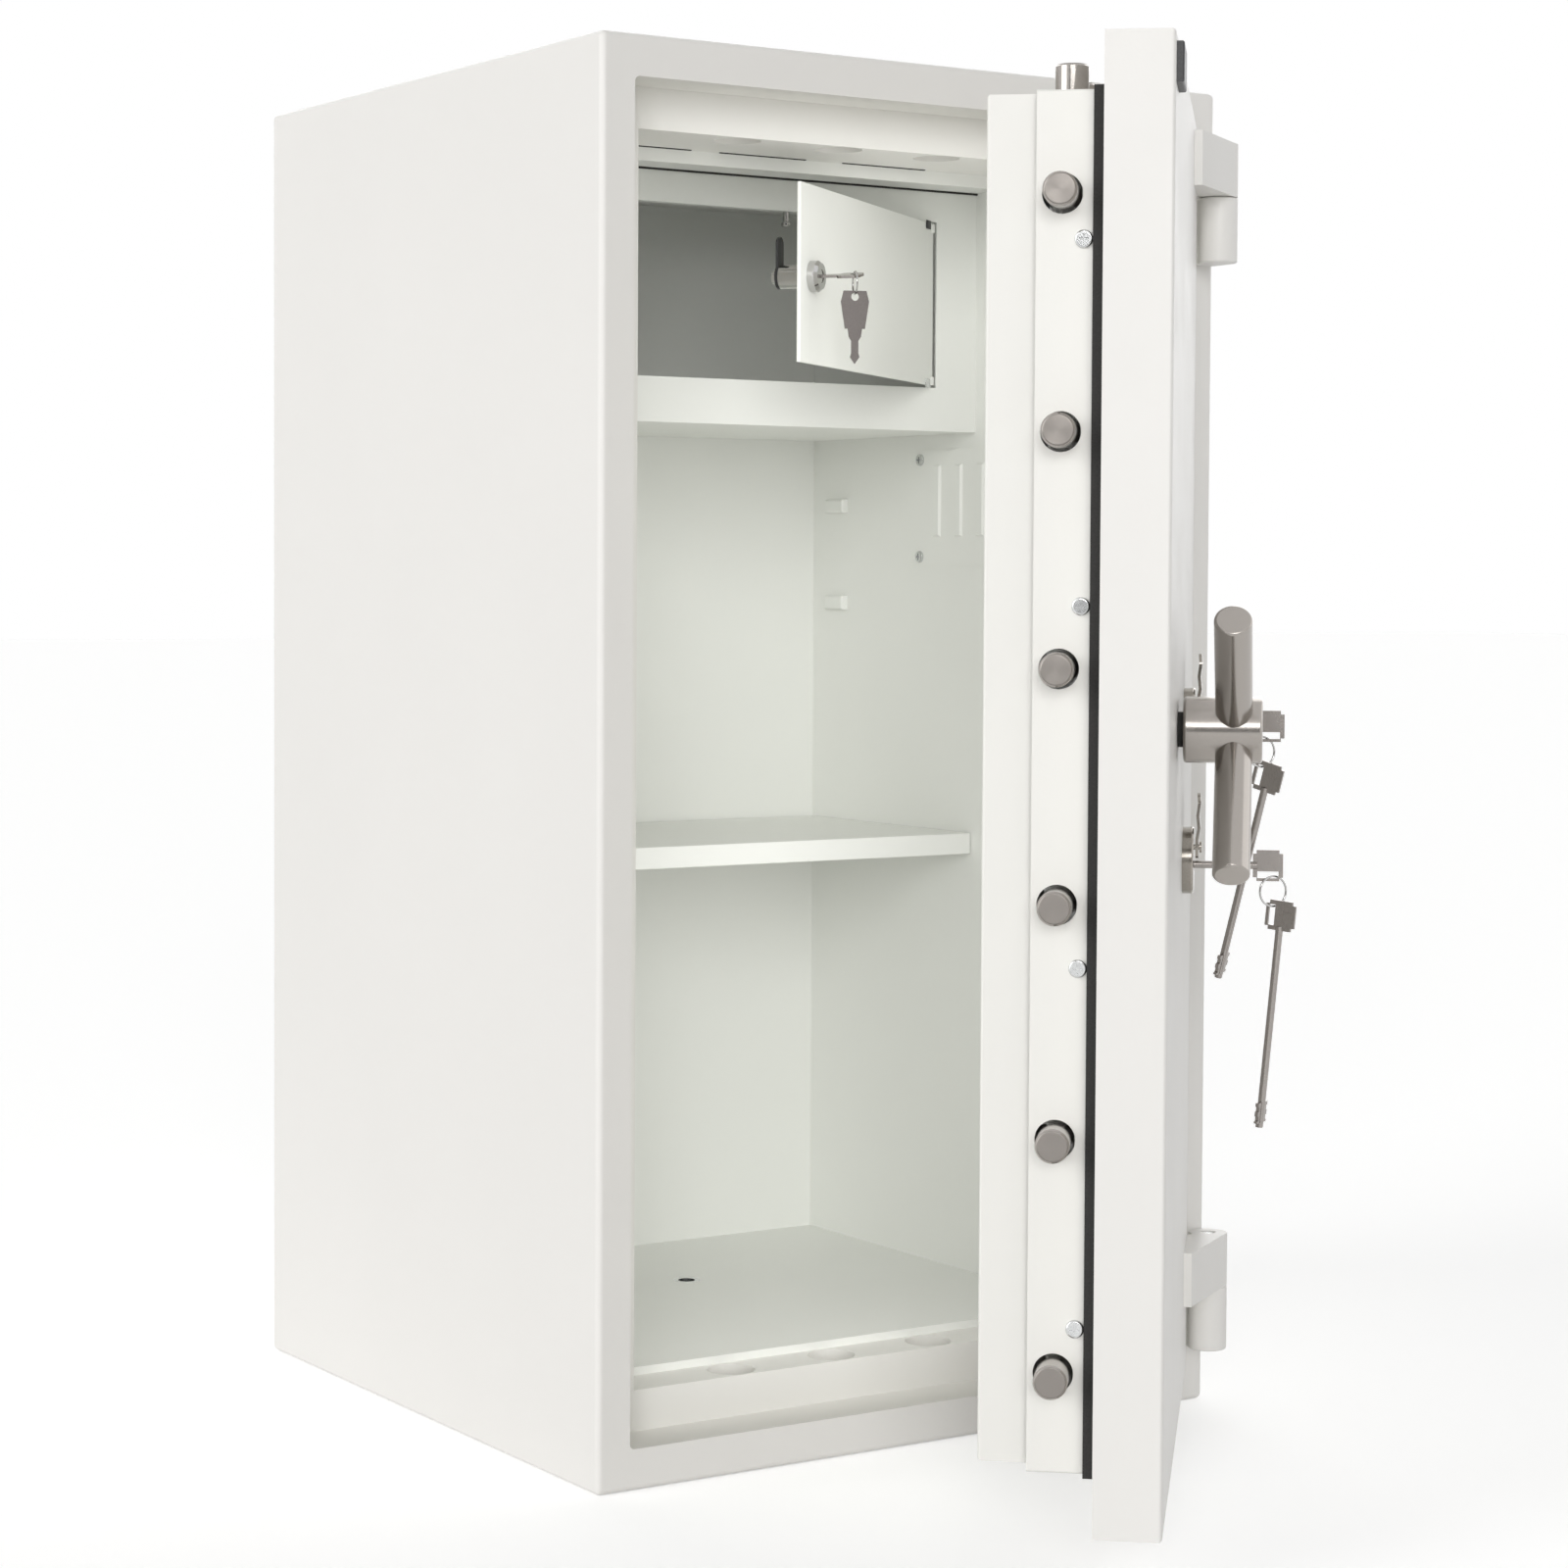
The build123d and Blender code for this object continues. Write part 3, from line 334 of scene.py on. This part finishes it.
# turned end face of a locking bolt: rings from the lathe round its own centre
def turnedMaterial(look):
    material, tree, shader = newMaterial("turnedFace")
    place = tree.nodes.new("ShaderNodeTexCoord").outputs["Object"]
    split = tree.nodes.new("ShaderNodeSeparateXYZ")
    joinNodes(tree, place, split.inputs[0])
    across, up = split.outputs[0], split.outputs[1]
    squareX = mathNode(tree, "MULTIPLY", across, across)
    squareY = mathNode(tree, "MULTIPLY", up, up)
    radius = mathNode(tree, "SQRT", mathNode(tree, "ADD", squareX, squareY))
    rings = mathNode(tree, "SINE", mathNode(tree, "MULTIPLY", radius, look["ringRate"]))
    wobble = addNode(tree, "ShaderNodeTexNoise", Scale=260.0, Detail=2.0)
    joinNodes(tree, place, wobble.inputs["Vector"])
    height = mathNode(tree, "ADD", rings, mathNode(tree, "MULTIPLY", wobble.outputs["Fac"], 0.6))
    faint = mathNode(tree, "MULTIPLY", rings, look["ringTone"])
    tone = rangeNode(tree, mathNode(tree, "ADD", faint, 0.5), 0.0, 1.0)
    dark, light = scaled(look["colour"], 0.86), scaled(look["colour"], 1.1)
    joinNodes(tree, mixColour(tree, tone, dark, light), shader.inputs["Base Color"])
    shader.inputs["Metallic"].default_value = 1.0
    shader.inputs["Roughness"].default_value = look["roughness"]
    bumpFrom(tree, shader, height, 0.12, 0.00012)
    return material


boltFace = {
    "colour": (0.26, 0.24, 0.222), "roughness": 0.36, "ringRate": 14000.0, "ringTone": 0.1,
    "radius": 0.01003, "thickness": 0.00025, "dish": 0.00005, "rings": 10, "around": 48,
}
turnedFace = turnedMaterial(boltFace)


def boltFacePiece(name, centre, outward, body):
    bm = bmesh.new()
    loops = []
    steps = boltFace["rings"]
    for ring in range(1, steps + 1):
        radius = boltFace["radius"] * ring / steps
        lift = boltFace["thickness"] - boltFace["dish"] * (1 - ring / steps)
        loops.append([
            bm.verts.new((
                radius * math.cos(2 * math.pi * turn / boltFace["around"]),
                radius * math.sin(2 * math.pi * turn / boltFace["around"]),
                lift,
            ))
            for turn in range(boltFace["around"])
        ])
    middle = bm.verts.new((0, 0, boltFace["thickness"] - boltFace["dish"]))
    count = boltFace["around"]
    base = [bm.verts.new((vert.co.x * 1.012, vert.co.y * 1.012, 0)) for vert in loops[-1]]
    for turn in range(count):
        after = (turn + 1) % count
        bm.faces.new((middle, loops[0][turn], loops[0][after]))
        for inner, outer in zip(loops, loops[1:]):
            bm.faces.new((inner[turn], outer[turn], outer[after], inner[after]))
        bm.faces.new((loops[-1][turn], base[turn], base[after], loops[-1][after]))
    bm.faces.new(list(reversed(base)))
    for face in bm.faces:
        face.smooth = len(face.verts) < count
    mesh = bpy.data.meshes.new(name)
    bm.to_mesh(mesh)
    bm.free()
    mesh.materials.append(turnedFace)
    piece = bpy.data.objects.new(name, mesh)
    scene.collection.objects.link(piece)
    turn = outward.to_track_quat("Z", "Y").to_matrix().to_4x4()
    piece.matrix_world = Matrix.Translation(centre) @ turn
    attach(piece, body)
    return piece


# the bolts' ends, read from the islands of each bolt mesh
def boltEnds(node, outward):
    mesh = nodes[node].data
    bm = bmesh.new()
    bm.from_mesh(mesh)
    bmesh.ops.remove_doubles(bm, verts=bm.verts, dist=1e-6)
    unseen = set(bm.verts)
    ends = []
    while unseen:
        island, front = set(), [unseen.pop()]
        while front:
            vert = front.pop()
            island.add(vert)
            for edge in vert.link_edges:
                other = edge.other_vert(vert)
                if other in unseen:
                    unseen.discard(other)
                    front.append(other)
        reach = max(vert.co.dot(outward) for vert in island)
        tip = [vert.co for vert in island if vert.co.dot(outward) > reach - 1e-5]
        ends.append(sum(tip, Vector()) / len(tip))
    bm.free()
    return sorted(ends, key=lambda end: (round(end.z, 4), end.x))


for node, body, joint in (
    ("side_bolts", "side_bolt_set", "side_bolts_slide"),
    ("top_bolts", "top_bolt_set", "top_bolts_slide"),
    ("bottom_bolts", "bottom_bolt_set", "bottom_bolts_slide"),
):
    outward = -Vector(joints[joint]["axis"]).normalized()
    for index, end in enumerate(boltEnds(node, outward)):
        boltFacePiece(f"{node}_face_{index + 1}", end, outward, body)
print("bolt faces turned")


# locker door: leaf tabs that stand off the hinge corners
hingeTab = {
    "length": 0.011, "height": 0.007, "sheet": 0.0010,
    "round": 0.0004, "offset": 0.0031, "inset": 0.008,
}


def roundedPlate(name, size, edgeRound, material):
    bm = bmesh.new()
    bmesh.ops.create_cube(bm, size=1.0)
    bmesh.ops.scale(bm, vec=size, verts=bm.verts)
    bmesh.ops.bevel(bm, geom=bm.edges[:], offset=edgeRound, segments=3, affect="EDGES", profile=0.5)
    mesh = bpy.data.meshes.new(name)
    bm.to_mesh(mesh)
    bm.free()
    mesh.shade_smooth()
    mesh.materials.append(material)
    piece = bpy.data.objects.new(name, mesh)
    scene.collection.objects.link(piece)
    return piece


def placedAt(place, heading):
    return Matrix.Translation(place) @ Matrix.Rotation(math.radians(heading), 4, "Z")


lockerHinge = {"x": 0.175, "y": -0.0315, "open": 36.9, "low": 0.8105, "high": 0.9405}


def makeHingeTabs():
    turn = Matrix.Rotation(math.radians(lockerHinge["open"]), 4, "Z")
    axis = Vector((lockerHinge["x"], lockerHinge["y"], 0))
    size = Vector((hingeTab["length"], hingeTab["sheet"], hingeTab["height"]))
    stand = hingeTab["offset"] + hingeTab["sheet"] / 2
    for name, level, finish in (("upper", "high", "cam_black"), ("lower", "low", "zinc")):
        piece = roundedPlate(f"locker_hinge_{name}Tab", size, hingeTab["round"], finishes[finish])
        offset = turn @ Vector((-hingeTab["inset"] - hingeTab["length"] / 2, -stand, 0))
        place = axis + offset + Vector((0, 0, lockerHinge[level]))
        piece.matrix_world = placedAt(place, lockerHinge["open"])
        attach(piece, "locker_door_body")


# ceiling: a black strip above the locker panel as painted shade for the shaded ceiling edge behind the lip,
# and black plates as painted shade in narrow slots beside the bolt sockets
ceiling = {
    "stripPlace": (0.0, -0.0352, 0.9692), "stripSize": (0.447, 0.0014, 0.0016),
    "stripRound": 0.0005, "slotRound": 0.0004,
    "slotXs": (-0.165, -0.062, 0.050), "slotY": -0.1455, "slotZ": 0.9698,
    "slotSize": (0.078, 0.0020, 0.0010),
}


def ceilingPiece(name, size, edgeRound, place):
    piece = roundedPlate(name, Vector(size), edgeRound, finishes["seal"])
    piece.matrix_world = placedAt(Vector(place), 0)
    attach(piece, "cabinet")


def makeCeilingDetails():
    stripSize, stripRound = ceiling["stripSize"], ceiling["stripRound"]
    # painted shade: a black seal strip darkens the ceiling edge between the lip and the locker panel
    ceilingPiece("ceiling_painted_shade_strip", stripSize, stripRound, ceiling["stripPlace"])
    for index, x in enumerate(ceiling["slotXs"]):
        place = (x, ceiling["slotY"], ceiling["slotZ"])
        # painted shade: flat black seal plates stand in for the shaded inside of each slot
        ceilingPiece(f"ceiling_slot_painted_shade_{index + 1}", ceiling["slotSize"], ceiling["slotRound"], place)


makeHingeTabs()
makeCeilingDetails()
print("small fittings made")


# studio: pale floor, four soft lights, a panel for the inside and white surroundings
studio = {
    "floorSize": 60.0, "floorColour": (0.90, 0.90, 0.895, 1.0), "floorDrop": 0.0005,
    "floorLift": 0.44, "worldAmbient": 0.24,
    "keyStrength": 1.18, "keyFrom": (-0.95, 0.10, 0.30), "keySoftness": 40.0,
    "fillStrength": 1.36, "fillFrom": (-0.53, -0.81, 0.20), "fillSoftness": 30.0,
    "sideStrength": 0.30, "sideFrom": (0.85, -0.25, 0.30), "sideSoftness": 50.0,
    "backStrength": 1.00, "backFrom": (0.55, 0.75, 0.45), "backSoftness": 60.0,
    "panelPlace": (0.0, -0.262, 0.52), "panelWidth": 0.40, "panelHeight": 0.88,
    "panelStrength": 0.62,
    "cardPlace": (-3.3, -5.0, 0.8), "cardWidth": 4.6, "cardHeight": 2.2, "cardShade": 0.035,
}


def seenRays(tree):
    ray = tree.nodes.new("ShaderNodeLightPath")
    cameraRay, glossyRay = ray.outputs["Is Camera Ray"], ray.outputs["Is Glossy Ray"]
    seen = mathNode(tree, "ADD", cameraRay, glossyRay, clamp=True)
    return mathNode(tree, "ADD", seen, ray.outputs["Is Transmission Ray"], clamp=True)


def makeFloor():
    material, tree, shader = newMaterial("studioFloor")
    shader.inputs["Base Color"].default_value = studio["floorColour"]
    shader.inputs["Roughness"].default_value = 0.9
    shader.inputs["Specular IOR Level"].default_value = 0.0
    shader.inputs["Emission Color"].default_value = (1.0, 1.0, 1.0, 1.0)
    lift = mathNode(tree, "MULTIPLY", seenRays(tree), studio["floorLift"])
    joinNodes(tree, lift, shader.inputs["Emission Strength"])
    mesh = bpy.data.meshes.new("studioFloor")
    half = studio["floorSize"] / 2
    low = cadBox[0][2] - studio["floorDrop"]
    corners = [(-half, -half, low), (half, -half, low), (half, half, low), (-half, half, low)]
    mesh.from_pydata(corners, [], [(0, 1, 2, 3)])
    mesh.materials.append(material)
    floor = bpy.data.objects.new("studioFloor", mesh)
    scene.collection.objects.link(floor)


# a dark card behind the camera, seen only in the metal
def makeDarkCard():
    material = bpy.data.materials.new("darkCard")
    material.use_nodes = True
    tree = material.node_tree
    clearTree(tree)
    shade = studio["cardShade"]
    glow = addNode(tree, "ShaderNodeEmission", Color=(1.0, 0.96, 0.92, 1.0), Strength=shade)
    joinNodes(tree, glow.outputs[0], tree.nodes.new("ShaderNodeOutputMaterial").inputs[0])
    mesh = bpy.data.meshes.new("darkCard")
    wide, tall = studio["cardWidth"] / 2, studio["cardHeight"] / 2
    corners = [(-wide, -tall, 0), (wide, -tall, 0), (wide, tall, 0), (-wide, tall, 0)]
    mesh.from_pydata(corners, [], [(0, 1, 2, 3)])
    mesh.materials.append(material)
    card = bpy.data.objects.new("darkCard", mesh)
    place = Vector(studio["cardPlace"])
    towards = Vector((0.0, -0.3, place.z)) - place
    turn = towards.to_track_quat("Z", "Y").to_matrix().to_4x4()
    card.matrix_world = Matrix.Translation(place) @ turn
    card.visible_camera = False
    card.visible_diffuse = False
    card.visible_shadow = False
    scene.collection.objects.link(card)


def makeSun(name, strength, source, softness):
    lamp = bpy.data.lights.new(name, "SUN")
    lamp.energy = strength
    lamp.angle = math.radians(softness)
    holder = bpy.data.objects.new(name, lamp)
    holder.rotation_euler = Vector(source).to_track_quat("Z", "Y").to_euler()
    scene.collection.objects.link(holder)


# soft panel in the doorway, which only lights the inside
def makeInsidePanel():
    lamp = bpy.data.lights.new("insideLight", "AREA")
    lamp.shape = "RECTANGLE"
    lamp.size = studio["panelWidth"]
    lamp.size_y = studio["panelHeight"]
    lamp.energy = studio["panelStrength"]
    holder = bpy.data.objects.new("insideLight", lamp)
    holder.location = studio["panelPlace"]
    holder.rotation_euler = Vector((0, -1, 0)).to_track_quat("Z", "Y").to_euler()
    holder.visible_camera = False
    holder.visible_glossy = False
    scene.collection.objects.link(holder)


def makeWorld():
    world = bpy.data.worlds.new("studioWorld")
    world.use_nodes = True
    tree = world.node_tree
    clearTree(tree)
    extra = mathNode(tree, "MULTIPLY", seenRays(tree), 1 - studio["worldAmbient"])
    strength = mathNode(tree, "ADD", extra, studio["worldAmbient"])
    sky = addNode(tree, "ShaderNodeBackground", Color=(1.0, 1.0, 1.0, 1.0))
    joinNodes(tree, strength, sky.inputs["Strength"])
    output = tree.nodes.new("ShaderNodeOutputWorld")
    joinNodes(tree, sky.outputs[0], output.inputs[0])
    scene.world = world


makeFloor()
makeDarkCard()
for light in ("key", "fill", "side", "back"):
    source, softness = studio[light + "From"], studio[light + "Softness"]
    makeSun(light + "Light", studio[light + "Strength"], source, softness)
makeInsidePanel()
makeWorld()
scene.view_settings.view_transform = "Standard"
print("studio ready")

# camera at the photograph's viewing angle
cameraLook = {
    "place": (-1.47233, -2.34489, 0.64926), "heading": 33.0694, "tiltDown": 2.1259,
    "roll": 0.3059, "lens": 78.42, "sensor": 36.0, "shiftY": -0.0505,
}


def makeCamera():
    data = bpy.data.cameras.new("photoCamera")
    data.sensor_fit = "HORIZONTAL"
    data.sensor_width = cameraLook["sensor"]
    data.lens = cameraLook["lens"]
    data.shift_y = cameraLook["shiftY"]
    camera = bpy.data.objects.new("photoCamera", data)
    turn = Matrix.Rotation(-math.radians(cameraLook["heading"]), 4, "Z")
    tilt = Matrix.Rotation(math.radians(90 - cameraLook["tiltDown"]), 4, "X")
    roll = Matrix.Rotation(math.radians(cameraLook["roll"]), 4, "Z")
    camera.matrix_world = Matrix.Translation(Vector(cameraLook["place"])) @ turn @ tilt @ roll
    scene.collection.objects.link(camera)
    scene.camera = camera


makeCamera()
print("camera set")
